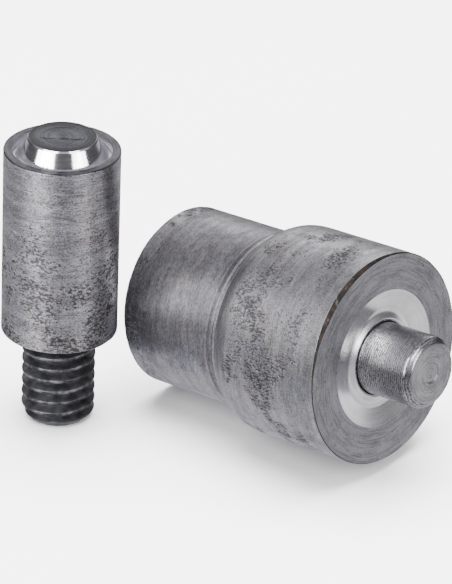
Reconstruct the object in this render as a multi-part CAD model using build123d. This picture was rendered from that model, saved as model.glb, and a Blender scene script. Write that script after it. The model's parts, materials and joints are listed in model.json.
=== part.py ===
from build123d import *
import math
import os

# Two-piece press setter for eyelets and tubular rivets, in millimetres, +Z up.
# The upper die stands on its threaded stud, with the stud's end at the origin and its axis on +Z.
# The lower die lies beside it on the floor, resting on its shank's rear edge and on its head.
# Both dies are turned parts. A turned outline is a list of (radius, distance along the axis).

# ---- upper die -------------------------------------------------------------------------------
STUD_MAJOR_R = 2.98          # M6 x 1 set screw, at the middle of its tolerance
STUD_PITCH = 1.0
THREAD_RUN_OUT_TURNS = 1.5
STUD_LENGTH = 16.0
STUD_EXPOSED = 7.89
STUD_END_R = 2.40
STUD_END_CHAMFER = 0.68
STUD_SOCKET_ACROSS_FLATS = 3.0
STUD_SOCKET_DEPTH = 3.5
TAPPED_HOLE_R = 3.0

PUNCH_R = 4.705
PUNCH_LENGTH = 16.05
PUNCH_EDGE_BREAK = 0.1
FORMING_GROOVE_OUTER_R = 3.965
FORMING_GROOVE_DEPTH = 0.78
FORMING_GROOVE_LOW_R = 3.56
NOSE_TOP_R = 2.806
NOSE_ROOT_R = 3.2
NOSE_ROOT_BELOW_RIM = 0.19
NOSE_HEIGHT = 1.085
NOSE_EDGE_BREAK = 0.06

# ---- lower die -------------------------------------------------------------------------------
SHANK_R = 7.431
SHANK_LENGTH = 10.1
SHANK_CHAMFER_LENGTH = 0.31
SHANK_CHAMFER_DEPTH = 0.26
HEAD_R = 8.711
SHOULDER_LENGTH = 2.45
BODY_LENGTH = 21.60
FACE_CHAMFER = 0.31
CHANNEL_OUTER_R = 5.657
CHANNEL_INNER_R = 3.45
CHANNEL_DEPTH = 0.9
GUIDE_BORE_R = 3.05
GUIDE_BORE_BREAK = 0.12
GUIDE_BORE_LENGTH = 6.20
SPRING_BORE_R = 4.5
RETAINER_THREAD_R = 4.675    # pitch radius of M10 x 1
RETAINER_MOUTH_R = 5.10

PIN_R = 2.965
PIN_PROTRUSION = 4.93
PIN_TIP_R = 2.518
PIN_TIP_CHAMFER = 0.456
PIN_CENTRE_R = 0.45
PIN_CENTRE_DEPTH = 0.3
PIN_COLLAR_R = 4.2
PIN_COLLAR_LENGTH = 2.0
PIN_STOP_GAP = 0.05
PIN_SPIGOT_R = 2.3
PIN_SPIGOT_LENGTH = 3.4

RETAINER_R = 4.66
RETAINER_RECESS = 0.4
RETAINER_LENGTH = 3.5
RETAINER_CHAMFER = 0.3
RETAINER_SLOT_WIDTH = 1.2
RETAINER_SLOT_DEPTH = 1.2

SPRING_WIRE = 0.7
SPRING_MEAN_R = 3.4
SPRING_TURNS = 5.0

# ---- where the lower die lies ----------------------------------------------------------------
LOWER_DIE_X = 2.57           # centre of the shank's rear face, from the upper die's axis
LOWER_DIE_Y = 12.16

# The shoulder is an arc that runs into the head's cylinder.
SHOULDER_RISE = HEAD_R - SHANK_R
SHOULDER_R = (SHOULDER_LENGTH**2 + SHOULDER_RISE**2) / (2 * SHOULDER_RISE)
HEAD_START = SHANK_LENGTH + SHOULDER_LENGTH

# The die tips up until the floor touches both the shank's rear edge and the shoulder's arc.
ARC_FROM_EDGE = HEAD_START - SHANK_CHAMFER_LENGTH
ARC_DROP = SHANK_R - (HEAD_R - SHOULDER_R)
LOWER_DIE_TILT = (math.asin(SHOULDER_R / math.hypot(ARC_FROM_EDGE, ARC_DROP))
                  - math.atan2(ARC_DROP, ARC_FROM_EDGE))
LOWER_DIE_Z = SHANK_R * math.cos(LOWER_DIE_TILT) - SHANK_CHAMFER_LENGTH * math.sin(LOWER_DIE_TILT)
LYING = (Pos(LOWER_DIE_X, LOWER_DIE_Y, LOWER_DIE_Z)
         * Rot(0, 90 - math.degrees(LOWER_DIE_TILT), 0))

GUIDE_BORE_START = BODY_LENGTH - GUIDE_BORE_LENGTH
COLLAR_FRONT = GUIDE_BORE_START - PIN_STOP_GAP
COLLAR_REAR = COLLAR_FRONT - PIN_COLLAR_LENGTH
RETAINER_FRONT = RETAINER_RECESS + RETAINER_LENGTH


def turned(edges):
    """Solid of revolution about Z from a closed chain of edges drawn in the XZ plane."""
    return revolve(Plane.XZ * make_face(edges), Axis.Z)


def outline(*points):
    """A chain of straight edges through the points."""
    return Polyline(*points)


def anvil_body():
    """Shank, shoulder and head, with the forming channel in the face and a stepped bore inside."""
    shoulder_middle = math.asin(SHOULDER_LENGTH / SHOULDER_R) / 2
    shoulder_point = (HEAD_R - SHOULDER_R * (1 - math.cos(shoulder_middle)),
                      HEAD_START - SHOULDER_R * math.sin(shoulder_middle))
    channel_point = ((CHANNEL_OUTER_R + CHANNEL_INNER_R) / 2, BODY_LENGTH - CHANNEL_DEPTH)
    mouth_depth = RETAINER_MOUTH_R - RETAINER_THREAD_R
    edges = outline(
        (RETAINER_MOUTH_R, 0),
        (SHANK_R - SHANK_CHAMFER_DEPTH, 0),
        (SHANK_R, SHANK_CHAMFER_LENGTH),
        (SHANK_R, SHANK_LENGTH),
    )
    edges += ThreePointArc((SHANK_R, SHANK_LENGTH), shoulder_point, (HEAD_R, HEAD_START))
    edges += outline(
        (HEAD_R, HEAD_START),
        (HEAD_R, BODY_LENGTH - FACE_CHAMFER),
        (HEAD_R - FACE_CHAMFER, BODY_LENGTH),
        (CHANNEL_OUTER_R, BODY_LENGTH),
    )
    edges += ThreePointArc((CHANNEL_OUTER_R, BODY_LENGTH), channel_point, (CHANNEL_INNER_R, BODY_LENGTH))
    edges += outline(
        (CHANNEL_INNER_R, BODY_LENGTH),
        (GUIDE_BORE_R + GUIDE_BORE_BREAK, BODY_LENGTH),
        (GUIDE_BORE_R, BODY_LENGTH - GUIDE_BORE_BREAK),
        (GUIDE_BORE_R, GUIDE_BORE_START),
        (SPRING_BORE_R, GUIDE_BORE_START),
        (SPRING_BORE_R, RETAINER_FRONT),
        (RETAINER_THREAD_R, RETAINER_FRONT),
        (RETAINER_THREAD_R, mouth_depth),
        (RETAINER_MOUTH_R, 0),
    )
    return turned(edges)


def guide_pin():
    """Locating pin, with the collar that stops it and the spigot that steadies its spring."""
    tip = BODY_LENGTH + PIN_PROTRUSION
    return turned(outline(
        (0, COLLAR_REAR - PIN_SPIGOT_LENGTH),
        (PIN_SPIGOT_R, COLLAR_REAR - PIN_SPIGOT_LENGTH),
        (PIN_SPIGOT_R, COLLAR_REAR),
        (PIN_COLLAR_R, COLLAR_REAR),
        (PIN_COLLAR_R, COLLAR_FRONT),
        (PIN_R, COLLAR_FRONT),
        (PIN_R, tip - PIN_TIP_CHAMFER),
        (PIN_TIP_R, tip),
        (PIN_CENTRE_R, tip),
        (0, tip - PIN_CENTRE_DEPTH),
        (0, COLLAR_REAR - PIN_SPIGOT_LENGTH),
    ))


def pin_spring():
    """Compression spring between the retainer and the pin's collar, its ends ground flat."""
    length = COLLAR_REAR - RETAINER_FRONT
    pitch = length / SPRING_TURNS
    path = Pos(0, 0, RETAINER_FRONT) * Helix(pitch=pitch, height=length, radius=SPRING_MEAN_R)
    section = Plane(origin=path @ 0, z_dir=path % 0) * Circle(SPRING_WIRE / 2)
    coil = sweep(section, path=path, is_frenet=True)
    between = Pos(0, 0, RETAINER_FRONT + length / 2) * Cylinder(SPRING_BORE_R, length)
    return coil & between


def spring_retainer():
    """Slotted screw plug that closes the shank's rear and holds the spring in."""
    plug = turned(outline(
        (0, RETAINER_RECESS),
        (RETAINER_R - RETAINER_CHAMFER, RETAINER_RECESS),
        (RETAINER_R, RETAINER_RECESS + RETAINER_CHAMFER),
        (RETAINER_R, RETAINER_FRONT),
        (0, RETAINER_FRONT),
        (0, RETAINER_RECESS),
    ))
    slot = Pos(0, 0, RETAINER_RECESS) * Box(2 * RETAINER_MOUTH_R, RETAINER_SLOT_WIDTH, 2 * RETAINER_SLOT_DEPTH)
    return plug - slot


def punch_body():
    """Plain cylinder with a ring groove and a flared nose on top, tapped from below for the stud."""
    rim = STUD_EXPOSED + PUNCH_LENGTH
    nose_foot = (NOSE_ROOT_R, rim - NOSE_ROOT_BELOW_RIM)
    nose_waist = ((NOSE_ROOT_R + NOSE_TOP_R) / 2 - 0.06, rim + (NOSE_HEIGHT - NOSE_ROOT_BELOW_RIM) / 2)
    nose_edge = (NOSE_TOP_R, rim + NOSE_HEIGHT - NOSE_EDGE_BREAK)
    edges = outline(
        (TAPPED_HOLE_R, STUD_EXPOSED),
        (PUNCH_R - PUNCH_EDGE_BREAK, STUD_EXPOSED),
        (PUNCH_R, STUD_EXPOSED + PUNCH_EDGE_BREAK),
        (PUNCH_R, rim - PUNCH_EDGE_BREAK),
        (PUNCH_R - PUNCH_EDGE_BREAK, rim),
        (FORMING_GROOVE_OUTER_R, rim),
    )
    edges += ThreePointArc(
        (FORMING_GROOVE_OUTER_R, rim), (FORMING_GROOVE_LOW_R, rim - FORMING_GROOVE_DEPTH), nose_foot)
    edges += ThreePointArc(nose_foot, nose_waist, nose_edge)
    edges += outline(
        nose_edge,
        (NOSE_TOP_R - NOSE_EDGE_BREAK, rim + NOSE_HEIGHT),
        (0, rim + NOSE_HEIGHT),
        (0, STUD_LENGTH),
        (TAPPED_HOLE_R, STUD_LENGTH),
        (TAPPED_HOLE_R, STUD_EXPOSED),
    )
    return turned(edges)


def threaded_stud():
    """Socket set screw: 60 degree thread cut as a helical groove, chamfered ends, hexagon socket."""
    flank = math.tan(math.radians(30))
    thread_depth = 0.6134 * STUD_PITCH
    root_r = STUD_MAJOR_R - thread_depth
    run_out = 0.05
    half_crest_gap = STUD_PITCH * 7 / 16
    half_root = half_crest_gap - thread_depth * flank
    half_outer = half_crest_gap + run_out * flank
    blank = Rot(0, 0, 180) * turned(outline(
        (0, 0),
        (STUD_END_R, 0),
        (STUD_MAJOR_R, STUD_END_CHAMFER),
        (STUD_MAJOR_R, STUD_LENGTH - STUD_END_CHAMFER),
        (STUD_END_R, STUD_LENGTH),
        (0, STUD_LENGTH),
        (0, 0),
    ))
    start = -THREAD_RUN_OUT_TURNS * STUD_PITCH
    groove_length = STUD_LENGTH - 2 * start
    path = Pos(0, 0, start) * Helix(pitch=STUD_PITCH, height=groove_length, radius=root_r)
    section = Plane.XZ * make_face(Polyline(
        (root_r, start - half_root),
        (STUD_MAJOR_R + run_out, start - half_outer),
        (STUD_MAJOR_R + run_out, start + half_outer),
        (root_r, start + half_root),
        close=True,
    ))
    groove = sweep(section, path=path, is_frenet=True)
    hexagon = RegularPolygon(STUD_SOCKET_ACROSS_FLATS / 2, 6, major_radius=False)
    socket = extrude(hexagon, STUD_SOCKET_DEPTH)
    return blank - groove - socket


NODES = {
    "anvil_body": LYING * anvil_body(),
    "guide_pin": LYING * guide_pin(),
    "pin_spring": LYING * pin_spring(),
    "spring_retainer": LYING * spring_retainer(),
    "punch_body": punch_body(),
    "threaded_stud": threaded_stud(),
}

os.makedirs("parts", exist_ok=True)
for name, solid in NODES.items():
    export_step(solid, f"parts/{name}.step")
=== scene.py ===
import bpy
import json
import math
from mathutils import Matrix, Vector, noise


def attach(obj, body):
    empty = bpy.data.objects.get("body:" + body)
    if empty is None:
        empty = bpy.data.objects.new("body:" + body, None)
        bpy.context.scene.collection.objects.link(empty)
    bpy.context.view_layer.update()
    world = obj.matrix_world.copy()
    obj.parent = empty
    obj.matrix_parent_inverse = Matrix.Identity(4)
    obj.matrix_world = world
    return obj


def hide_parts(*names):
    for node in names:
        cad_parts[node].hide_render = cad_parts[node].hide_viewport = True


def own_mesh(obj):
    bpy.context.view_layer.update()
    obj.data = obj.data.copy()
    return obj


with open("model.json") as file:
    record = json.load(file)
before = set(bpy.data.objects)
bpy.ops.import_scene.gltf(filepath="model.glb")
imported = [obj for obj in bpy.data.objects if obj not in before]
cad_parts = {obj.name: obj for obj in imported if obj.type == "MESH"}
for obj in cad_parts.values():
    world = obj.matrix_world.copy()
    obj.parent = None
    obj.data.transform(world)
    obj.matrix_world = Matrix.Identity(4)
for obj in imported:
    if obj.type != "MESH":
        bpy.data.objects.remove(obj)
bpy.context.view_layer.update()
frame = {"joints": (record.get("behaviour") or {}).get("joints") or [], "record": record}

# Rivet setter: an upper die standing on its stud and a lower die lying beside it.
# Outlines are in millimetres, each about its own die's axis; objects are in metres, in the CAD frame.
MM = 0.001
FULL_TURN = 2 * math.pi
SEGMENTS = 288
LONGEST_STEP = 0.45          # along an outline, mm
SUPPORT_STEP = 0.03          # rows this close to each corner keep the flats flat, mm
FILLET_STEPS = 6

# ---- upper die, mm ---------------------------------------------------------------------------
STUD_EXPOSED = 7.89
STUD_LENGTH = 16.0
STUD_CREST_R = 2.98
STUD_END_R = 2.40
STUD_END_CHAMFER = 0.68
THREAD_PITCH = 1.0
THREAD_DEPTH = 0.6134
SOCKET_FLAT_R = 1.5
SOCKET_DEPTH = 3.5
TAPPED_HOLE_R = 3.0
PUNCH_R = 4.705
PUNCH_RIM = STUD_EXPOSED + 16.05
GROOVE_OUTER_R = 3.965
GROOVE_LOW_R = 3.56
GROOVE_DEPTH = 0.78
NOSE_TOP_R = 2.806
NOSE_ROOT_R = 3.32
NOSE_ROOT_BELOW_RIM = 0.25
NOSE_HEIGHT = 1.085

# ---- lower die, mm ---------------------------------------------------------------------------
SHANK_R = 7.431
SHANK_LENGTH = 10.1
SHANK_MOUNT_AT = 5.0         # the shank mount's point, from the shank's end
HEAD_R = 8.711
SHOULDER_LENGTH = 2.45
BODY_LENGTH = 21.60
WIDE_CHAMFER_AT = 212        # where the face's broken edge is widest, degrees round the die
WIDE_CHAMFER_REACH = 58      # degrees to each side of that
CHANNEL_OUTER_R = 5.657
CHANNEL_LOW_R = 3.90
CHANNEL_DEPTH = 0.5
LIP_R = 3.25
LIP_BELOW_FACE = 0.19
GUIDE_BORE_R = 3.05
GUIDE_BORE_START = 15.40
SPRING_BORE_R = 4.5
RETAINER_THREAD_R = 4.675
RETAINER_MOUTH_R = 5.10
RETAINER_R = 4.66
RETAINER_RECESS = 0.4
RETAINER_FRONT = 3.9
RETAINER_SLOT_WIDTH = 1.2
RETAINER_SLOT_DEPTH = 1.2
PIN_R = 2.965
PIN_TIP = BODY_LENGTH + 4.93
PIN_TIP_R = 2.518
PIN_TIP_CHAMFER = 0.456
PIN_COLLAR_R = 4.2
PIN_COLLAR_LENGTH = 2.0
PIN_TAIL_R = 2.3
PIN_TAIL_LENGTH = 3.4
COLLAR_FRONT = GUIDE_BORE_START - 0.05
COLLAR_REAR = COLLAR_FRONT - PIN_COLLAR_LENGTH
SPRING_MEAN_R = 3.4
SPRING_WIRE_R = 0.35

# ---- where the camera stands: degrees anticlockwise of the row's +Y, seen from above ---------
CAMERA_HEADING = 40.961
SCRATCH_HEADING = CAMERA_HEADING     # the nose's scratch lies across the picture

# ---- where the lower die lies ----------------------------------------------------------------
JOINTS = {joint["name"]: joint for joint in frame["joints"]}
MOUNTS = {mount["name"]: mount for mount in frame["record"]["mounts"]}
DIE_AXIS = Vector(JOINTS["guide_pin_slide"]["axis"]).normalized()
DIE_END = Vector(MOUNTS["shank"]["pos_m"]) - DIE_AXIS * SHANK_MOUNT_AT * MM


def lying_matrix():
    """Local Z runs along the lower die, from the shank's end; local -X is up and local Y is the row's Y."""
    side = Vector((0, 1, 0))
    down = side.cross(DIE_AXIS)
    turn = Matrix((down, side, DIE_AXIS)).transposed().to_4x4()
    return Matrix.Translation(DIE_END) @ turn


LYING = lying_matrix()
STANDING = Matrix.Identity(4)


# ---- outlines --------------------------------------------------------------------------------
def arc_through(start, middle, end, steps):
    """Points of the arc from start through middle to end, end included and start left out."""
    (ax, ay), (bx, by), (cx, cy) = start, middle, end
    d = 2 * (ax * (by - cy) + bx * (cy - ay) + cx * (ay - by))
    a2, b2, c2 = ax * ax + ay * ay, bx * bx + by * by, cx * cx + cy * cy
    ox = (a2 * (by - cy) + b2 * (cy - ay) + c2 * (ay - by)) / d
    oy = (a2 * (cx - bx) + b2 * (ax - cx) + c2 * (bx - ax)) / d
    radius = math.hypot(ax - ox, ay - oy)
    first, mid, last = (math.atan2(y - oy, x - ox) for x, y in (start, middle, end))
    sweep = (last - first) % FULL_TURN
    if (mid - first) % FULL_TURN > sweep:
        sweep -= FULL_TURN
    angles = [first + sweep * i / steps for i in range(1, steps + 1)]
    return [(ox + radius * math.cos(a), oy + radius * math.sin(a)) for a in angles]


def rounded(corners, loop=True):
    """Outline through the corners, each (radius, height, fillet, zone), as (radius, height, zone) points.
    A corner's zone names the finish of what follows it. Straight runs get support rows near their ends."""
    count = len(corners)
    points = []
    for i, (r, z, fillet, zone) in enumerate(corners):
        here = Vector((r, z))
        before = Vector(corners[i - 1][:2]) - here
        after = Vector(corners[(i + 1) % count][:2]) - here
        at_end = not loop and i in (0, count - 1)
        if at_end or fillet <= 0 or before.length < 1e-9 or after.length < 1e-9:
            points.append((r, z, zone))
            continue
        half = before.angle(after) / 2
        reach = min(fillet / math.tan(half), 0.45 * before.length, 0.45 * after.length)
        radius = reach * math.tan(half)
        centre = here + (before.normalized() + after.normalized()).normalized() * (radius / math.sin(half))
        first = here + before.normalized() * reach
        last = here + after.normalized() * reach
        middle = centre + (here - centre).normalized() * radius
        before_zone = corners[i - 1][3]
        points.append((first.x, first.y, before_zone))
        arc = arc_through(tuple(first), tuple(middle), tuple(last), FILLET_STEPS)
        points += [(x, y, before_zone if k < FILLET_STEPS / 2 else zone) for k, (x, y) in enumerate(arc)]
    return supported(points, loop)


def supported(points, loop):
    """The same outline with its long straight runs cut into short rows."""
    result = []
    count = len(points)
    for i, (r, z, zone) in enumerate(points):
        result.append((r, z, zone))
        if not loop and i == count - 1:
            break
        nr, nz, _ = points[(i + 1) % count]
        run = math.hypot(nr - r, nz - z)
        if run < 4 * SUPPORT_STEP:
            continue
        steps = max(1, math.ceil((run - 2 * SUPPORT_STEP) / LONGEST_STEP))
        for k in range(steps + 1):
            t = (SUPPORT_STEP + (run - 2 * SUPPORT_STEP) * k / steps) / run
            result.append((r + (nr - r) * t, z + (nz - z) * t, zone))
    return result


# ---- meshes ----------------------------------------------------------------------------------
def new_object(name, vertices, faces, zones, face_zones, materials, matrix):
    """A smooth-shaded mesh object from points in mm about its own axis."""
    mesh = bpy.data.meshes.new(name)
    mesh.from_pydata([(x * MM, y * MM, z * MM) for x, y, z in vertices], [], faces)
    for zone in zones:
        mesh.materials.append(materials[zone])
    index = {zone: i for i, zone in enumerate(zones)}
    for polygon, zone in zip(mesh.polygons, face_zones):
        polygon.material_index = index[zone]
        polygon.use_smooth = True
    mesh.validate()
    mesh.update()
    piece = bpy.data.objects.new(name, mesh)
    bpy.context.scene.collection.objects.link(piece)
    piece.matrix_world = matrix
    return piece


def turned(name, outline_at, materials, matrix, loop=True):
    """Turned part. outline_at(angle) gives the outline's points there. Each angle's faces take as many points
    as angle 0 has: where an uneven chamfer gives an outline more, its last ones are left out of the faces.
    A loop is a hollow part's closed outline; otherwise both ends of the outline lie on the axis."""
    columns = [outline_at(FULL_TURN * s / SEGMENTS) for s in range(SEGMENTS)]
    rows = len(columns[0])
    vertices, index = [], {}
    for s, column in enumerate(columns):
        angle = FULL_TURN * s / SEGMENTS
        for k, (r, z, _) in enumerate(column):
            if r < 1e-6:
                if s == 0:
                    index[k] = len(vertices)
                    vertices.append((0.0, 0.0, z))
                continue
            index[s, k] = len(vertices)
            vertices.append((r * math.cos(angle), r * math.sin(angle), z))
    faces, face_zones = [], []
    for s in range(SEGMENTS):
        t = (s + 1) % SEGMENTS
        for k in range(rows if loop else rows - 1):
            n = (k + 1) % rows
            ring = [index.get((s, k), index.get(k)), index.get((t, k), index.get(k)),
                    index.get((t, n), index.get(n)), index.get((s, n), index.get(n))]
            face = list(dict.fromkeys(ring))
            if len(face) > 2:
                faces.append(face)
                face_zones.append(columns[s][k][2])
    zones = list(dict.fromkeys(face_zones))
    return new_object(name, vertices, faces, zones, face_zones, materials, matrix)


# ---- materials -------------------------------------------------------------------------------
class Tree:
    """Short calls for one material's nodes. Places are in mm about the piece's own axis."""

    def __init__(self, name):
        self.material = bpy.data.materials.new(name)
        self.material.use_nodes = True
        self.nodes = self.material.node_tree.nodes
        self.links = self.material.node_tree.links
        self.shader = self.nodes["Principled BSDF"]
        coords = self.nodes.new("ShaderNodeTexCoord")
        self.place = self.scaled(coords.outputs["Object"], 1 / MM)
        split = self.nodes.new("ShaderNodeSeparateXYZ")
        self.links.new(self.place, split.inputs[0])
        self.x, self.y, self.z = split.outputs
        x_squared = self.math("MULTIPLY", self.x, self.x)
        y_squared = self.math("MULTIPLY", self.y, self.y)
        self.r = self.math("SQRT", self.math("ADD", x_squared, y_squared))

    def feed(self, socket, value):
        if isinstance(value, bpy.types.NodeSocket):
            self.links.new(value, socket)
        else:
            socket.default_value = value

    def math(self, operation, a, b=None, clamp=False):
        node = self.nodes.new("ShaderNodeMath")
        node.operation = operation
        node.use_clamp = clamp
        self.feed(node.inputs[0], a)
        if b is not None:
            self.feed(node.inputs[1], b)
        return node.outputs[0]

    def scaled(self, vector, scale):
        node = self.nodes.new("ShaderNodeVectorMath")
        node.operation = "SCALE"
        self.feed(node.inputs[0], vector)
        node.inputs["Scale"].default_value = scale
        return node.outputs[0]

    def around(self, along, across, shift=0.0):
        """Coordinates for turning marks: slow round the axis, quick along the axis and along the radius."""
        quick = self.math("MULTIPLY", self.math("ADD", self.z, self.r), across)
        join = self.nodes.new("ShaderNodeCombineXYZ")
        self.feed(join.inputs[0], self.math("MULTIPLY", self.x, along))
        self.feed(join.inputs[1], self.math("MULTIPLY", self.y, along))
        self.feed(join.inputs[2], self.math("ADD", quick, shift))
        return join.outputs[0]

    def stretched(self, around, along, shift=0.0):
        """Coordinates of this closeness round the axis and along it."""
        join = self.nodes.new("ShaderNodeCombineXYZ")
        self.feed(join.inputs[0], self.math("MULTIPLY", self.x, around))
        self.feed(join.inputs[1], self.math("MULTIPLY", self.y, around))
        self.feed(join.inputs[2], self.math("ADD", self.math("MULTIPLY", self.z, along), shift))
        return join.outputs[0]

    def noise(self, vector, scale, detail=2.0, rough=0.55, distort=0.0):
        node = self.nodes.new("ShaderNodeTexNoise")
        self.feed(node.inputs["Vector"], vector)
        node.inputs["Scale"].default_value = scale
        node.inputs["Detail"].default_value = detail
        node.inputs["Roughness"].default_value = rough
        node.inputs["Distortion"].default_value = distort
        return node.outputs["Fac"]

    def spread(self, value, low, high, to_low=0.0, to_high=1.0, smooth=True):
        node = self.nodes.new("ShaderNodeMapRange")
        node.interpolation_type = "SMOOTHSTEP" if smooth else "LINEAR"
        for socket, number in zip(("From Min", "From Max", "To Min", "To Max"), (low, high, to_low, to_high)):
            self.feed(node.inputs[socket], number)
        self.feed(node.inputs["Value"], value)
        return node.outputs["Result"]

    def mix(self, share, a, b, blend="MIX"):
        node = self.nodes.new("ShaderNodeMix")
        node.data_type = "RGBA"
        node.blend_type = blend
        self.feed(node.inputs[0], share)
        for socket, value in ((node.inputs[6], a), (node.inputs[7], b)):
            self.feed(socket, value if isinstance(value, bpy.types.NodeSocket) else (*value, 1.0))
        return node.outputs[2]

    def grey(self, value):
        """A colour of this brightness."""
        node = self.nodes.new("ShaderNodeCombineColor")
        for i in range(3):
            self.feed(node.inputs[i], value)
        return node.outputs[0]

    def finish(self, colour, roughness, height, depth_mm, metallic=1.0, grain=0.0):
        """Links colour, roughness and a bump; grain is how strongly the turning marks stretch reflections."""
        self.feed(self.shader.inputs["Base Color"], colour)
        self.feed(self.shader.inputs["Roughness"], roughness)
        self.feed(self.shader.inputs["Metallic"], metallic)
        bump = self.nodes.new("ShaderNodeBump")
        bump.inputs["Strength"].default_value = 1.0
        bump.inputs["Distance"].default_value = depth_mm * MM
        self.feed(bump.inputs["Height"], height)
        self.links.new(bump.outputs[0], self.shader.inputs["Normal"])
        if grain > 0:
            self.shader.inputs["Anisotropic"].default_value = grain
            self.shader.inputs["Anisotropic Rotation"].default_value = 0.25
            tangent = self.nodes.new("ShaderNodeTangent")
            tangent.direction_type = "RADIAL"
            tangent.axis = "Z"
            self.links.new(tangent.outputs[0], self.shader.inputs["Tangent"])
        return self.material


def scaled_steel(name, low, high, pits, worst_at, scribed=None, grain=0.75, roughness=0.27, dark=0.88,
                 contrast=0.5):
    """Bar stock skimmed in the lathe: turned metal with leftover dark scale in short pits and smoky patches.
    pits is the pits' closeness round and along the axis, per mm. worst_at is (start, full, fading, clean)
    along the axis, in mm: where the scale sets in and where it stops. scribed is (from, full) along the axis,
    where a turning tool has left single bright and dark rings. dark is how dark the pits are;
    contrast is how much the metal between them varies."""
    t = Tree(name)
    fine = t.noise(t.around(1.1, 9.0), 1.0, 2.0, 0.6)
    broad = t.noise(t.around(0.16, 1.6, 7.0), 1.0, 2.0)
    cloud = t.noise(t.place, 0.26, 2.0, 0.55, 0.5)
    patch = t.noise(t.place, 0.75, 3.0, 0.6, 0.8)
    sand = t.noise(t.stretched(*pits), 2.6, 2.0, 0.7)
    grit = t.noise(t.stretched(*pits, 31.0), 1.25, 3.0, 0.66, 0.3)
    zone = t.math("MULTIPLY", t.spread(t.z, *worst_at[:2]), t.spread(t.z, *worst_at[2:], 1.0, 0.0))
    zone = t.math("ADD", t.math("MULTIPLY", zone, 0.80), 0.20)
    smooth_spot = t.spread(patch, 0.36, 0.44, 0.15, 1.0)
    where = t.math("MULTIPLY", t.math("MULTIPLY", zone, smooth_spot), t.spread(cloud, 0.36, 0.58, 0.40, 1.0))
    edge = t.math("SUBTRACT", 0.73, t.math("MULTIPLY", where, 0.27))
    pit = t.spread(t.math("SUBTRACT", grit, edge), 0.0, 0.07)
    haze = t.math("ADD", t.math("MULTIPLY", cloud, 0.5), t.math("MULTIPLY", patch, 0.5))
    smoke = t.spread(haze, 0.42, 0.62)
    colour = t.mix(t.spread(broad, 0.32, 0.68), low, high)
    colour = t.mix(t.math("MULTIPLY", smoke, 0.45), colour, tuple(0.42 * c for c in low))
    hue = t.noise(t.place, 0.42, 2.0)
    colour = t.mix(t.spread(hue, 0.52, 0.66, 0.0, 0.35), colour, (0.37, 0.36, 0.43))
    colour = t.mix(t.spread(hue, 0.48, 0.34, 0.0, 0.30), colour, (0.36, 0.31, 0.31))
    tone = t.math("ADD", t.math("MULTIPLY", fine, 0.35), t.math("MULTIPLY", sand, 0.65))
    shading = t.spread(tone, 0.38, 0.62, 1 - contrast, 1 + 1.1 * contrast)
    colour = t.mix(1.0, colour, t.grey(shading), "MULTIPLY")
    if scribed:
        rings = t.noise(t.around(0.05, 5.5, 19.0), 1.0, 2.0, 0.7)
        marked = t.mix(1.0, colour, t.grey(t.spread(rings, 0.40, 0.60, 0.45, 1.7)), "MULTIPLY")
        colour = t.mix(t.spread(t.z, *scribed), colour, marked)
    colour = t.mix(t.math("MULTIPLY", pit, dark), colour, (0.030, 0.026, 0.028))
    rough = t.math("ADD", t.math("MULTIPLY", sand, 0.18), roughness - 0.09)
    rough = t.math("ADD", rough, t.math("MULTIPLY", smoke, 0.10))
    rough = t.math("ADD", rough, t.math("MULTIPLY", pit, 0.25), clamp=True)
    height = t.math("SUBTRACT", t.math("MULTIPLY", tone, 0.9), pit)
    return t.finish(colour, rough, height, 0.018, grain=grain)


def faced_steel(name, low, high, roughness, grain=0.5, specks=0.3, chatter=1.0, scratch=None, depth=0.012,
                edge=None):
    """A lathe-faced surface: concentric tool marks, light and dark, with a few specks. chatter scales how far
    the marks wander. scratch, if given, is a straight dark scratch's (heading in degrees, offset,
    half length) in mm. edge, if given, is the (from, to) radii over which it darkens."""
    t = Tree(name)
    drift = t.noise(t.place, 0.55, 2.0)
    wander = t.math("MULTIPLY", drift, 2.2 * chatter)
    fine = t.noise(t.around(0.45, 9.0, wander), 1.0, 2.0, 0.65)
    broad = t.noise(t.around(0.30, 1.3, 3.0), 1.0, 3.0)
    blotch = t.noise(t.place, 0.62, 3.0, 0.62)
    sand = t.noise(t.place, 7.0, 1.0)
    grit = t.noise(t.place, 3.6, 2.0, 0.6)
    speck = t.math("MULTIPLY", t.spread(grit, 0.63, 0.70), specks)
    tone = t.math("ADD", t.math("MULTIPLY", fine, 0.42), t.math("MULTIPLY", broad, 0.18))
    tone = t.math("ADD", tone, t.math("MULTIPLY", blotch, 0.20))
    tone = t.math("ADD", tone, t.math("MULTIPLY", sand, 0.20))
    colour = t.mix(t.spread(tone, 0.40, 0.60), low, high)
    colour = t.mix(speck, colour, (0.04, 0.036, 0.04))
    if edge:
        colour = t.mix(1.0, colour, t.grey(t.spread(t.r, *edge, 1.0, 0.15)), "MULTIPLY")
    if scratch:
        heading, offset, reach = scratch
        ca, sa = math.cos(math.radians(heading)), math.sin(math.radians(heading))
        along = t.math("ADD", t.math("MULTIPLY", t.x, ca), t.math("MULTIPLY", t.y, sa))
        off = t.math("ADD", t.math("MULTIPLY", t.x, -sa), t.math("MULTIPLY", t.y, ca))
        waver = t.math("MULTIPLY", t.math("SUBTRACT", t.noise(t.place, 1.6, 3.0), 0.5), 0.55)
        gap = t.math("ABSOLUTE", t.math("SUBTRACT", t.math("ADD", off, waver), offset))
        line = t.math("MULTIPLY", t.spread(gap, 0.03, 0.14, 1.0, 0.0),
                      t.spread(t.math("ABSOLUTE", along), reach - 0.5, reach, 1.0, 0.0))
        colour = t.mix(t.math("MULTIPLY", line, 0.85), colour, (0.012, 0.012, 0.014))
    rough = t.math("ADD", t.math("MULTIPLY", blotch, 0.14), roughness - 0.07)
    height = t.math("ADD", t.math("MULTIPLY", fine, 0.6), t.math("MULTIPLY", sand, 0.4))
    if scratch:
        height = t.math("SUBTRACT", height, t.math("MULTIPLY", line, 2.5))
    return t.finish(colour, rough, height, depth, grain=grain)


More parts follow.
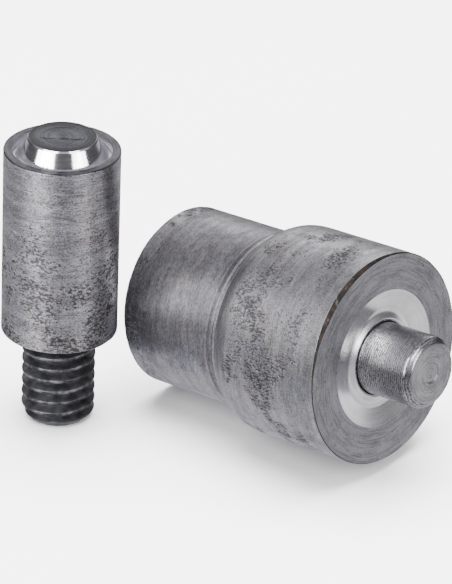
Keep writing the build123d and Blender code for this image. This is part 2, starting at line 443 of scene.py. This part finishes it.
def polished_steel(name, low, high, roughness):
    """A forming surface polished by lapping: smooth, with faint round marks."""
    t = Tree(name)
    fine = t.noise(t.around(0.15, 6.0), 1.0, 2.0)
    smear = t.noise(t.place, 0.9, 2.0)
    colour = t.mix(t.spread(smear, 0.35, 0.65), low, high)
    colour = t.mix(1.0, colour, t.grey(t.spread(fine, 0.35, 0.65, 0.94, 1.04)), "MULTIPLY")
    rough = t.math("ADD", t.math("MULTIPLY", fine, 0.06), roughness - 0.03)
    return t.finish(colour, rough, fine, 0.0015)


def ground_steel(name):
    """The guide pin's ground side: close even rings, with small bright and dark grains."""
    t = Tree(name)
    ring_pitch = 0.20
    sway = t.noise(t.place, 0.8, 2.0)
    turn = t.math("MULTIPLY", t.math("ADD", t.z, t.math("MULTIPLY", sway, 0.35)), FULL_TURN / ring_pitch)
    groove = t.spread(t.math("SINE", turn), -1.0, 1.0, smooth=False)
    rings = t.noise(t.around(0.6, 8.0), 1.0, 2.0, 0.6)
    grain = t.noise(t.place, 8.0, 2.0, 0.7)
    soot = t.noise(t.place, 1.1, 3.0, 0.6, 0.5)
    grit = t.noise(t.place, 3.4, 2.0, 0.6)
    tone = t.math("ADD", t.math("MULTIPLY", rings, 0.18), t.math("MULTIPLY", grain, 0.66))
    tone = t.math("ADD", tone, t.math("MULTIPLY", groove, 0.16))
    colour = t.mix(t.spread(tone, 0.36, 0.64), (0.10, 0.095, 0.10), (0.50, 0.49, 0.51))
    colour = t.mix(t.spread(soot, 0.50, 0.72, 0.0, 0.5), colour, (0.12, 0.105, 0.11))
    colour = t.mix(t.spread(grit, 0.64, 0.70, 0.0, 0.75), colour, (0.05, 0.045, 0.05))
    rough = t.spread(tone, 0.35, 0.65, 0.42, 0.24)
    return t.finish(colour, rough, tone, 0.005, grain=0.6)


def scale_edge(name):
    """A raw chamfer left by the saw and the fire: nearly black, with brown rust in it."""
    t = Tree(name)
    grit = t.noise(t.place, 2.6, 3.0, 0.65)
    rust = t.noise(t.place, 0.9, 3.0, 0.6)
    colour = t.mix(t.spread(rust, 0.45, 0.62), (0.014, 0.012, 0.012), (0.030, 0.019, 0.014))
    colour = t.mix(t.spread(grit, 0.58, 0.72), colour, (0.09, 0.08, 0.08))
    rough = t.spread(grit, 0.3, 0.7, 0.80, 0.60)
    return t.finish(colour, rough, grit, 0.03, metallic=0.5)


def blackened_steel(name, wear):
    """Black oxide. Crests are rubbed to a dull grey, more where wear is higher."""
    t = Tree(name)
    grit = t.noise(t.place, 3.2, 3.0, 0.65)
    patch = t.noise(t.place, 1.0, 3.0, 0.6)
    crest = t.spread(t.r, STUD_CREST_R - 0.08, STUD_CREST_R)
    rubbed = t.spread(t.math("ADD", patch, t.math("MULTIPLY", grit, 0.35)), 0.58, 0.98)
    worn = t.math("MULTIPLY", t.math("MULTIPLY", crest, rubbed), wear)
    colour = t.mix(t.spread(patch, 0.35, 0.68), (0.020, 0.020, 0.023), (0.060, 0.060, 0.066))
    colour = t.mix(worn, colour, (0.17, 0.165, 0.165))
    rough = t.spread(grit, 0.3, 0.7, 0.52, 0.36)
    return t.finish(colour, rough, grit, 0.012, metallic=0.75)


def wire_steel(name):
    """Oil-tempered spring wire: dark, with fine drawing marks."""
    t = Tree(name)
    grit = t.noise(t.place, 2.5, 3.0, 0.6)
    colour = t.mix(t.spread(grit, 0.35, 0.65), (0.16, 0.16, 0.175), (0.36, 0.35, 0.36))
    return t.finish(colour, t.spread(grit, 0.3, 0.7, 0.45, 0.28), grit, 0.006)


def floor_paint(name):
    """Plain pale sweep with a barely visible tone."""
    t = Tree(name)
    tone = t.noise(t.place, 0.02, 2.0)
    t.feed(t.shader.inputs["Base Color"], t.mix(tone, (0.86, 0.86, 0.86), (0.90, 0.90, 0.90)))
    t.shader.inputs["Roughness"].default_value = 0.9
    t.shader.inputs["Specular IOR Level"].default_value = 0.1
    return t.material


STEEL = {
    "punch_side": scaled_steel("punch_skin", (0.30, 0.295, 0.305), (0.46, 0.455, 0.47), (2.7, 4.6),
                               (7.0, 7.5, 16.0, 22.5)),
    "punch_rim": faced_steel("punch_rim_faced", (0.035, 0.035, 0.042), (0.12, 0.12, 0.132), 0.36),
    "groove": polished_steel("punch_groove_lapped", (0.62, 0.61, 0.65), (0.80, 0.79, 0.82), 0.30),
    "flank": polished_steel("punch_nose_polished", (0.74, 0.73, 0.75), (0.90, 0.89, 0.91), 0.12),
    "nose_top": faced_steel("punch_nose_faced", (0.016, 0.016, 0.021), (0.100, 0.100, 0.120), 0.36,
                            specks=0.2, chatter=0.5, scratch=(SCRATCH_HEADING, -0.45, 1.9), depth=0.028,
                            edge=(1.5, 2.8)),
    "inside": faced_steel("drilled_steel", (0.12, 0.12, 0.13), (0.22, 0.22, 0.23), 0.45),
    "head_side": scaled_steel("anvil_skin", (0.32, 0.315, 0.325), (0.46, 0.455, 0.47), (5.2, 2.8),
                              (10.6, 12.6, 18.6, 21.6), grain=0.45, roughness=0.34, dark=0.66,
                              contrast=0.36),
    "shank_side": scaled_steel("anvil_shank_skin", (0.27, 0.267, 0.285), (0.38, 0.375, 0.395), (1.6, 4.4),
                               (-1.0, -0.5, 0.8, 3.0), scribed=(8.6, 9.9), grain=0.45,
                               roughness=0.34, dark=0.7, contrast=0.32),
    "face": faced_steel("anvil_face_faced", (0.205, 0.203, 0.222), (0.40, 0.397, 0.425), 0.40, grain=0.2,
                        specks=0.4),
    "face_edge": scale_edge("anvil_edge_scale"),
    "channel": polished_steel("anvil_channel_polished", (0.90, 0.90, 0.92), (0.97, 0.97, 0.99), 0.26),
    "pin_side": ground_steel("pin_ground"),
    "pin_end": faced_steel("pin_end_faced", (0.27, 0.265, 0.28), (0.53, 0.52, 0.545), 0.40, grain=0.2,
                           specks=0.3, chatter=0.4),
    "oxide": blackened_steel("stud_oxide", 1.0),
    "plug": blackened_steel("retainer_oxide", 0.0),
    "wire": wire_steel("spring_wire"),
}


# ---- pieces ----------------------------------------------------------------------------------
def wobble(angle, seed, waves=3.0):
    """Smooth value between -1 and 1 that closes on itself round the axis."""
    return noise.noise(Vector((waves * math.cos(angle), waves * math.sin(angle), seed)))


def nearness(angle, centre, half_width):
    """1 at the centre angle, falling smoothly to 0 at half_width from it (degrees)."""
    off = abs((math.degrees(angle) - centre + 180) % 360 - 180) / half_width
    return max(0.0, 1 - off * off) ** 2


def anvil_outline(angle):
    """The lower die's body. Its face edge is broken unevenly, widest on the upper left of the face."""
    rise = HEAD_R - SHANK_R
    shoulder_r = (SHOULDER_LENGTH**2 + rise**2) / (2 * rise)
    head_start = SHANK_LENGTH + SHOULDER_LENGTH
    half = math.asin(SHOULDER_LENGTH / shoulder_r) / 2
    on_shoulder = (HEAD_R - shoulder_r * (1 - math.cos(half)), head_start - shoulder_r * math.sin(half))
    shoulder = arc_through((SHANK_R, SHANK_LENGTH), on_shoulder, (HEAD_R, head_start), 14)
    wide = nearness(angle, WIDE_CHAMFER_AT, WIDE_CHAMFER_REACH)
    chamfer = 0.07 + 0.30 * wide + (0.02 + 0.05 * wide) * wobble(angle, 1.7, 5.0)
    chamfer_length = 0.06 + 0.22 * wide + 0.02 * wobble(angle, 4.1, 7.0)
    rear = 0.26 + 0.03 * wobble(angle, 9.3)
    mouth = RETAINER_MOUTH_R - RETAINER_THREAD_R
    corners = [
        (RETAINER_MOUTH_R, 0, 0.05, "face"),
        (SHANK_R - rear, 0, 0.05, "shank_side"),
        (SHANK_R, 0.31, 0.10, "shank_side"),
        (SHANK_R, SHANK_LENGTH - 0.02, 0.0, "head_side"),
    ]
    corners += [(r, z, 0.0, "head_side") for r, z in shoulder]
    corners += [
        (HEAD_R, BODY_LENGTH - chamfer_length, 0.03, "face_edge"),
        (HEAD_R - chamfer, BODY_LENGTH, 0.03, "face"),
        (CHANNEL_OUTER_R + 0.03, BODY_LENGTH, 0.03, "channel"),
        (CHANNEL_LOW_R, BODY_LENGTH - CHANNEL_DEPTH, 0.8, "channel"),
        (LIP_R, BODY_LENGTH - LIP_BELOW_FACE, 0.14, "channel"),
        (GUIDE_BORE_R, BODY_LENGTH - LIP_BELOW_FACE - 0.09, 0.06, "inside"),
        (GUIDE_BORE_R, GUIDE_BORE_START, 0.0, "inside"),
        (SPRING_BORE_R, GUIDE_BORE_START, 0.0, "inside"),
        (SPRING_BORE_R, RETAINER_FRONT, 0.0, "inside"),
        (RETAINER_THREAD_R, RETAINER_FRONT, 0.0, "inside"),
        (RETAINER_THREAD_R, mouth, 0.0, "inside"),
    ]
    return rounded(corners)


def pin_outline(angle):
    """Guide pin, the same at every angle, with a small turned pip and ring on its end."""
    corners = [
        (0, COLLAR_REAR - PIN_TAIL_LENGTH, 0, "inside"),
        (PIN_TAIL_R, COLLAR_REAR - PIN_TAIL_LENGTH, 0.10, "inside"),
        (PIN_TAIL_R, COLLAR_REAR, 0.05, "inside"),
        (PIN_COLLAR_R, COLLAR_REAR, 0.10, "inside"),
        (PIN_COLLAR_R, COLLAR_FRONT, 0.10, "inside"),
        (PIN_R, COLLAR_FRONT, 0.05, "pin_side"),
        (PIN_R, PIN_TIP - PIN_TIP_CHAMFER, 0.45, "pin_side"),
        (PIN_TIP_R, PIN_TIP, 0.32, "pin_end"),
        (0.86, PIN_TIP - 0.015, 0.03, "pin_end"),
        (0.70, PIN_TIP - 0.085, 0.03, "pin_end"),
        (0.42, PIN_TIP - 0.075, 0.04, "pin_end"),
        (0, PIN_TIP - 0.16, 0, "pin_end"),
    ]
    return rounded(corners, loop=False)


def punch_outline(angle):
    """The upper die's body, with its forming groove and flared nose."""
    foot = (NOSE_ROOT_R, PUNCH_RIM - NOSE_ROOT_BELOW_RIM)
    lowest = (GROOVE_LOW_R, PUNCH_RIM - GROOVE_DEPTH)
    groove = arc_through((GROOVE_OUTER_R, PUNCH_RIM - 0.04), lowest, foot, 18)
    low = 0.10 + 0.03 * wobble(angle, 2.2, 4.0)
    corners = [
        (TAPPED_HOLE_R, STUD_EXPOSED, 0.04, "punch_rim"),
        (PUNCH_R - low, STUD_EXPOSED, 0.04, "punch_side"),
        (PUNCH_R, STUD_EXPOSED + low, 0.05, "punch_side"),
        (PUNCH_R, PUNCH_RIM - 0.07, 0.04, "punch_rim"),
        (PUNCH_R - 0.08, PUNCH_RIM, 0.04, "punch_rim"),
        (GROOVE_OUTER_R + 0.03, PUNCH_RIM, 0.03, "groove"),
    ]
    corners += [(r, z, 0.0, "groove") for r, z in groove[:-1]]
    corners += [
        (*foot, 0.0, "flank"),
        (NOSE_TOP_R + 0.02, PUNCH_RIM + NOSE_HEIGHT - 0.13, 0.04, "flank"),
        (NOSE_TOP_R - 0.07, PUNCH_RIM + NOSE_HEIGHT, 0.03, "nose_top"),
        (0, PUNCH_RIM + NOSE_HEIGHT, 0, "inside"),
        (0, STUD_LENGTH, 0, "inside"),
        (TAPPED_HOLE_R, STUD_LENGTH, 0.0, "inside"),
    ]
    return corners_to_axis(corners)


def corners_to_axis(corners):
    """Fillets a solid part's outline that meets the axis in two neighbouring corners."""
    last_on_axis = max(i for i, corner in enumerate(corners) if corner[0] == 0)
    return rounded(corners[last_on_axis:] + corners[:last_on_axis], loop=False)


def retainer():
    """Slotted plug: a turned disc whose rear face is cut by a screwdriver slot, with a thread on its side."""
    vertices, faces = [], []
    steps, rows = 240, 60
    ridge_height, chamfer = 0.30, 0.32
    side = [RETAINER_FRONT - (RETAINER_FRONT - RETAINER_RECESS) * k / rows for k in range(rows + 1)]
    for s in range(steps):
        angle = FULL_TURN * s / steps
        for z in side:
            phase = (z / THREAD_PITCH - angle / FULL_TURN) % 1.0
            ridge = 0.5 + 0.5 * math.cos(FULL_TURN * phase)
            to_end = min(z - RETAINER_RECESS, RETAINER_FRONT - z)
            r = min(RETAINER_R - ridge_height * ridge, RETAINER_R - chamfer + to_end)
            x, y = r * math.cos(angle), r * math.sin(angle)
            vertices.append((x, y, z))
    count = rows + 1
    for s in range(steps):
        t = (s + 1) % steps
        for k in range(rows):
            faces.append([s * count + k, t * count + k, t * count + k + 1, s * count + k + 1])
    front = len(vertices)
    vertices.append((0, 0, RETAINER_FRONT))
    rear = len(vertices)
    vertices.append((0, 0, RETAINER_RECESS))
    for s in range(steps):
        t = (s + 1) % steps
        faces.append([front, t * count, s * count])
        faces.append([rear, s * count + rows, t * count + rows])
    zones = ["plug"] * len(faces)
    plug = new_object("spring_retainer_plug", vertices, faces, ["plug"], zones, STEEL, LYING)
    cutter = bpy.data.meshes.new("slot_cutter")
    reach, half = 2 * RETAINER_R, RETAINER_SLOT_WIDTH / 2
    heights = (RETAINER_RECESS - RETAINER_SLOT_DEPTH, RETAINER_RECESS + RETAINER_SLOT_DEPTH)
    box = [(x * MM, y * MM, z * MM) for x in (-reach, reach) for y in (-half, half) for z in heights]
    sides = [(0, 1, 3, 2), (4, 6, 7, 5), (0, 4, 5, 1), (2, 3, 7, 6), (0, 2, 6, 4), (1, 5, 7, 3)]
    cutter.from_pydata(box, [], sides)
    return cut(plug, cutter)


def cut(piece, cutter_mesh):
    """The piece with the cutter's volume taken out; the cutter is in the piece's own frame."""
    cutter = bpy.data.objects.new("cutter", cutter_mesh)
    bpy.context.scene.collection.objects.link(cutter)
    cutter.matrix_world = piece.matrix_world
    modifier = piece.modifiers.new("cut", "BOOLEAN")
    modifier.operation = "DIFFERENCE"
    modifier.solver = "EXACT"
    modifier.object = cutter
    depsgraph = bpy.context.evaluated_depsgraph_get()
    result = bpy.data.meshes.new_from_object(piece.evaluated_get(depsgraph))
    piece.modifiers.clear()
    piece.data = result
    bpy.data.objects.remove(cutter)
    sharpen(piece.data, 30)
    return piece


def sharpen(mesh, degrees):
    """Marks the edges that turn by more than this as sharp."""
    limit = math.cos(math.radians(degrees))
    owners = {}
    for polygon in mesh.polygons:
        polygon.use_smooth = True
        for key in polygon.edge_keys:
            owners.setdefault(key, []).append(polygon.normal.copy())
    for edge in mesh.edges:
        normals = owners.get(tuple(sorted(edge.vertices)), [])
        edge.use_edge_sharp = len(normals) != 2 or normals[0].dot(normals[1]) < limit


def thread_radius(phase):
    """Radius of a rounded 60 degree thread, at a phase from 0 to 1 with the crest at the middle."""
    crest_ends, root_starts = 1 / 12, 7 / 16
    off = abs(phase - 0.5)
    flank = min(1.0, max(0.0, (root_starts - off) / (root_starts - crest_ends)))
    soft = flank * flank * (3 - 2 * flank)
    return STUD_CREST_R - THREAD_DEPTH * (1 - (0.6 * flank + 0.4 * soft))


def stud():
    """Socket set screw. Its rows follow the helix, so each crest is one clean line of edges."""
    steps, per_pitch = 160, 20
    first, last = -per_pitch, int(STUD_LENGTH / THREAD_PITCH + 1) * per_pitch
    root = STUD_CREST_R - THREAD_DEPTH
    rim = min(STUD_END_R, root) - 0.02
    vertices, faces, index = [], [], {}

    def vertex(row, step):
        """Index of the vertex on this helical row, counting steps over more than one turn."""
        row, step = row + per_pitch * (step // steps), step % steps
        key = (row, step)
        z = (row / per_pitch + step / steps) * THREAD_PITCH
        at_end = z <= 0 or z >= STUD_LENGTH
        if at_end:
            key = ("low" if z <= 0 else "high", step)
        if key not in index:
            angle = FULL_TURN * step / steps
            z = min(max(z, 0.0), STUD_LENGTH)
            into = min(z, STUD_LENGTH - z)
            taper = STUD_END_R + (STUD_CREST_R - STUD_END_R) * into / STUD_END_CHAMFER
            wear = 0.012 * noise.noise(Vector((3 * math.cos(angle), 3 * math.sin(angle), 1.7 * z)))
            r = rim if at_end else min(thread_radius((row / per_pitch) % 1.0) + wear, taper, STUD_CREST_R)
            index[key] = len(vertices)
            vertices.append((r * math.cos(angle), r * math.sin(angle), z))
        return index[key]

    for row in range(first, last):
        for step in range(steps):
            this_row = [vertex(row, step), vertex(row, step + 1)]
            next_row = [vertex(row + 1, step + 1), vertex(row + 1, step)]
            face = list(dict.fromkeys(this_row + next_row))
            if len(face) > 2:
                faces.append(face)
    hexagon_r = SOCKET_FLAT_R / math.cos(math.pi / 6)
    mouth, floor = [], []
    for step in range(steps):
        angle = FULL_TURN * step / steps
        from_flat = (angle + math.pi / 6) % (math.pi / 3) - math.pi / 6
        r = SOCKET_FLAT_R / math.cos(from_flat)
        for ring, z in ((mouth, 0.0), (floor, SOCKET_DEPTH)):
            ring.append(len(vertices))
            vertices.append((r * math.cos(angle), r * math.sin(angle), z))
    tip = len(vertices)
    vertices.append((0, 0, SOCKET_DEPTH + 0.35 * hexagon_r))
    top = len(vertices)
    vertices.append((0, 0, STUD_LENGTH))
    for step in range(steps):
        n = (step + 1) % steps
        low, high = index["low", step], index["high", step]
        low_n, high_n = index["low", n], index["high", n]
        faces += [[low, mouth[step], mouth[n], low_n], [mouth[step], floor[step], floor[n], mouth[n]]]
        faces += [[floor[step], tip, floor[n]], [high, high_n, top]]
    zones = ["oxide"] * len(faces)
    piece = new_object("threaded_stud_m6", vertices, faces, ["oxide"], zones, STEEL, STANDING)
    sharpen(piece.data, 40)
    return piece


def spring():
    """Closed and ground compression spring: a wire swept round the axis with close end turns."""
    low, high = RETAINER_FRONT, COLLAR_REAR
    turns, end_turns, per_turn, around = 6.0, 1.0, 56, 14
    vertices, faces = [], []
    total = int(turns * per_turn)
    end_rise = 2 * SPRING_WIRE_R * 1.02
    middle_rise = (high - low - 2 * end_rise) / (turns - 2 * end_turns)

    def height(turn):
        """Height of the wire's centre line after so many turns."""
        if turn < end_turns:
            return low + end_rise * turn
        if turn < turns - end_turns:
            return low + end_rise + middle_rise * (turn - end_turns)
        return high - end_rise * (turns - turn)

    for i in range(total + 1):
        turn = i / per_turn
        angle = FULL_TURN * turn
        z = height(turn)
        for k in range(around):
            side = FULL_TURN * k / around
            r = SPRING_MEAN_R + SPRING_WIRE_R * math.cos(side)
            up = z + SPRING_WIRE_R * math.sin(side)
            vertices.append((r * math.cos(angle), r * math.sin(angle), min(max(up, low), high)))
    for i in range(total):
        for k in range(around):
            n = (k + 1) % around
            a, b = i * around, (i + 1) * around
            faces.append([a + k, a + n, b + n, b + k])
    faces.append([k for k in reversed(range(around))])
    faces.append([total * around + k for k in range(around)])
    return new_object("pin_spring_coil", vertices, faces, ["wire"], ["wire"] * len(faces), STEEL, LYING)


def place(piece, body, node):
    """A detailed piece that stands for its CAD node."""
    if body:
        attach(piece, body)
    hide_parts(node)


anvil = turned("anvil_body_turned", anvil_outline, STEEL, LYING)
place(anvil, "anvil", "anvil_body")
pin = turned("guide_pin_ground", pin_outline, STEEL, LYING, loop=False)
place(pin, "pin", "guide_pin")
punch = turned("punch_body_turned", punch_outline, STEEL, STANDING, loop=False)
place(punch, "punch", "punch_body")
screw = stud()
place(screw, "punch", "threaded_stud")
place(retainer(), "anvil", "spring_retainer")
coil = spring()
place(coil, "anvil", "pin_spring")
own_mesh(coil)


# ---- stage, light and camera -----------------------------------------------------------------
CAMERA_AT = Vector((0.23773, -0.25343, 0.19576))
CAMERA_DOWN = 27.939
CAMERA_ROLL = -2.079
PICTURE_HEIGHT = 36.0        # mm
FOCAL_LENGTH = 300.76        # mm
LAMPS_AIM_AT = Vector((0.010, 0.008, 0.010))
FLOOR_HALF = 3.0             # m
BACKDROP_R = 1.2             # m
BACKDROP_LIGHT = 4.4
UNDER_LIGHT = 1.0            # the sky's brightness: straight below, low, at the horizon and above
TABLE_LIGHT = 0.61
WALL_LIGHT = 0.10
CEILING_LIGHT = 0.60
DARK_SIDE_AT = (94, -30)     # bearing and elevation, degrees
DARK_SIDE_REACH = (13, 28)   # degrees from its middle: still dark, and no longer dark
DARK_SIDE_SHARE = 0.10


def camera_axes():
    """Right, up and backward directions of the camera."""
    heading, down, roll = (math.radians(a) for a in (CAMERA_HEADING, CAMERA_DOWN, CAMERA_ROLL))
    level = Vector((math.cos(heading), math.sin(heading), 0))
    ahead = Vector((-math.sin(heading) * math.cos(down), math.cos(heading) * math.cos(down), -math.sin(down)))
    below = ahead.cross(level)
    right = level * math.cos(roll) + below * math.sin(roll)
    up = level * math.sin(roll) - below * math.cos(roll)
    return right, up, -ahead


def make_camera():
    """The camera that the object is seen from at rest."""
    lens = bpy.data.cameras.new("camera")
    lens.sensor_fit = "VERTICAL"
    lens.sensor_height = PICTURE_HEIGHT
    lens.lens = FOCAL_LENGTH
    lens.clip_start = 0.01
    lens.clip_end = 10.0
    camera = bpy.data.objects.new("camera", lens)
    bpy.context.scene.collection.objects.link(camera)
    camera.matrix_world = Matrix.Translation(CAMERA_AT) @ Matrix(camera_axes()).transposed().to_4x4()
    bpy.context.scene.camera = camera


def softbox(name, bearing, elevation, distance, width, height, power, only=None):
    """Area light aimed at the object, metres and watts. bearing is degrees to the camera's right.
    only, if given, is the one collection that it lights."""
    offset = direction(bearing, elevation)
    lamp = bpy.data.lights.new(name, "AREA")
    lamp.shape = "RECTANGLE"
    lamp.size = width
    lamp.size_y = height
    lamp.energy = power
    light = bpy.data.objects.new(name, lamp)
    bpy.context.scene.collection.objects.link(light)
    light.location = LAMPS_AIM_AT + offset * distance
    light.rotation_euler = offset.to_track_quat("Z", "Y").to_euler()
    if only:
        light.light_linking.receiver_collection = only


def make_stage():
    """Plain pale floor and backdrop. Neither is reflected in the metal, whose surroundings are the sky,
    and the floor lets the lamp and the sky below it through."""
    half = FLOOR_HALF
    mesh = bpy.data.meshes.new("floor")
    corners = [(-half, -half, 0), (half, -half, 0), (half, half, 0), (-half, half, 0)]
    mesh.from_pydata(corners, [], [(0, 1, 2, 3)])
    mesh.materials.append(floor_paint("floor_paint"))
    floor = bpy.data.objects.new("floor", mesh)
    stage = bpy.data.collections.new("stage")
    bpy.context.scene.collection.children.link(stage)
    stage.objects.link(floor)
    floor.visible_glossy = False
    floor.visible_shadow = False
    make_backdrop(BACKDROP_R)
    bpy.context.scene.world = make_sky()
    return stage


def make_backdrop(radius):
    """Pale wall and ceiling round the object. It is only looked at: it neither lights nor reflects."""
    steps = 48
    angles = [FULL_TURN * i / steps for i in range(steps)]
    ring = [(radius * math.cos(angle), radius * math.sin(angle)) for angle in angles]
    vertices = [(x, y, 0.0) for x, y in ring] + [(x, y, radius) for x, y in ring]
    faces = [(i, (i + 1) % steps, steps + (i + 1) % steps, steps + i) for i in range(steps)]
    faces.append(tuple(range(steps, 2 * steps)))
    mesh = bpy.data.meshes.new("backdrop")
    mesh.from_pydata(vertices, [], faces)
    paint = bpy.data.materials.new("backdrop_paint")
    paint.use_nodes = True
    shader = paint.node_tree.nodes["Principled BSDF"]
    shader.inputs["Base Color"].default_value = (0.0, 0.0, 0.0, 1.0)
    shader.inputs["Emission Color"].default_value = (1.0, 1.0, 1.0, 1.0)
    shader.inputs["Emission Strength"].default_value = BACKDROP_LIGHT
    mesh.materials.append(paint)
    wall = bpy.data.objects.new("backdrop", mesh)
    bpy.context.scene.collection.objects.link(wall)
    wall.visible_glossy = False
    wall.visible_diffuse = False
    wall.visible_shadow = False
    return wall


def direction(bearing, elevation):
    """Unit vector from the object; bearing is degrees to the camera's right."""
    toward, tilt = math.radians(CAMERA_HEADING - 90 + bearing), math.radians(elevation)
    return Vector((math.cos(toward) * math.cos(tilt), math.sin(toward) * math.cos(tilt), math.sin(tilt)))


def tint(light):
    """A cool near-white of this brightness."""
    return 0.985 * light, 0.97 * light, 1.05 * light, 1.0


def make_sky():
    """Studio surroundings by height: a bright table below, a dark far wall at the horizon and a dim ceiling.
    One side, low on the camera's right, is dark."""
    world = bpy.data.worlds.new("sky")
    world.use_nodes = True
    nodes, links = world.node_tree.nodes, world.node_tree.links
    coords = nodes.new("ShaderNodeTexCoord")
    split = nodes.new("ShaderNodeSeparateXYZ")
    links.new(coords.outputs["Generated"], split.inputs[0])
    raise_up = nodes.new("ShaderNodeMath")
    raise_up.operation = "MULTIPLY_ADD"
    raise_up.inputs[1].default_value = 0.5
    raise_up.inputs[2].default_value = 0.5
    links.new(split.outputs[2], raise_up.inputs[0])
    ramp = nodes.new("ShaderNodeValToRGB")
    links.new(raise_up.outputs[0], ramp.inputs[0])
    ramp.color_ramp.interpolation = "EASE"
    ends = ramp.color_ramp.elements
    ends[0].position, ends[0].color = 0.0, tint(UNDER_LIGHT)
    ends[1].position, ends[1].color = 1.0, tint(CEILING_LIGHT)
    for position, light in ((0.10, UNDER_LIGHT), (0.26, TABLE_LIGHT), (0.40, TABLE_LIGHT), (0.48, WALL_LIGHT),
                            (0.63, WALL_LIGHT), (0.80, CEILING_LIGHT)):
        ends.new(position).color = tint(light)
    side = nodes.new("ShaderNodeVectorMath")
    side.operation = "DOT_PRODUCT"
    links.new(coords.outputs["Generated"], side.inputs[0])
    side.inputs[1].default_value = direction(*DARK_SIDE_AT)
    shade = nodes.new("ShaderNodeMapRange")
    shade.interpolation_type = "SMOOTHSTEP"
    shade.inputs["From Min"].default_value = math.cos(math.radians(DARK_SIDE_REACH[1]))
    shade.inputs["From Max"].default_value = math.cos(math.radians(DARK_SIDE_REACH[0]))
    shade.inputs["To Min"].default_value = 1.0
    shade.inputs["To Max"].default_value = DARK_SIDE_SHARE
    links.new(side.outputs["Value"], shade.inputs["Value"])
    links.new(ramp.outputs[0], nodes["Background"].inputs["Color"])
    links.new(shade.outputs["Result"], nodes["Background"].inputs["Strength"])
    return world


stage = make_stage()
upper = bpy.data.collections.new("upper_die_only")
for piece in (punch, screw):
    upper.objects.link(piece)
lower = bpy.data.collections.new("lower_die_only")
for piece in (anvil, pin):
    lower.objects.link(piece)
softbox("key_left", bearing=-42, elevation=32, distance=0.60, width=0.42, height=0.55, power=7.5, only=upper)
softbox("soft_left", bearing=-42, elevation=32, distance=0.60, width=0.42, height=0.55, power=5.0)
softbox("strip_left", bearing=-49, elevation=12, distance=0.60, width=0.58, height=0.12, power=3.0,
        only=upper)
softbox("key_right", bearing=46, elevation=30, distance=0.60, width=0.30, height=0.50, power=3.2)
softbox("strip_right", bearing=54, elevation=12, distance=0.60, width=0.44, height=0.10, power=1.2,
        only=upper)
softbox("backdrop", bearing=180, elevation=22, distance=0.80, width=0.90, height=0.35, power=1.9)
softbox("table_glow", bearing=98, elevation=-26, distance=0.50, width=0.56, height=0.40, power=0.48,
        only=lower)
softbox("overhead", bearing=180, elevation=80, distance=0.90, width=0.90, height=0.90, power=62.0,
        only=stage)
make_camera()
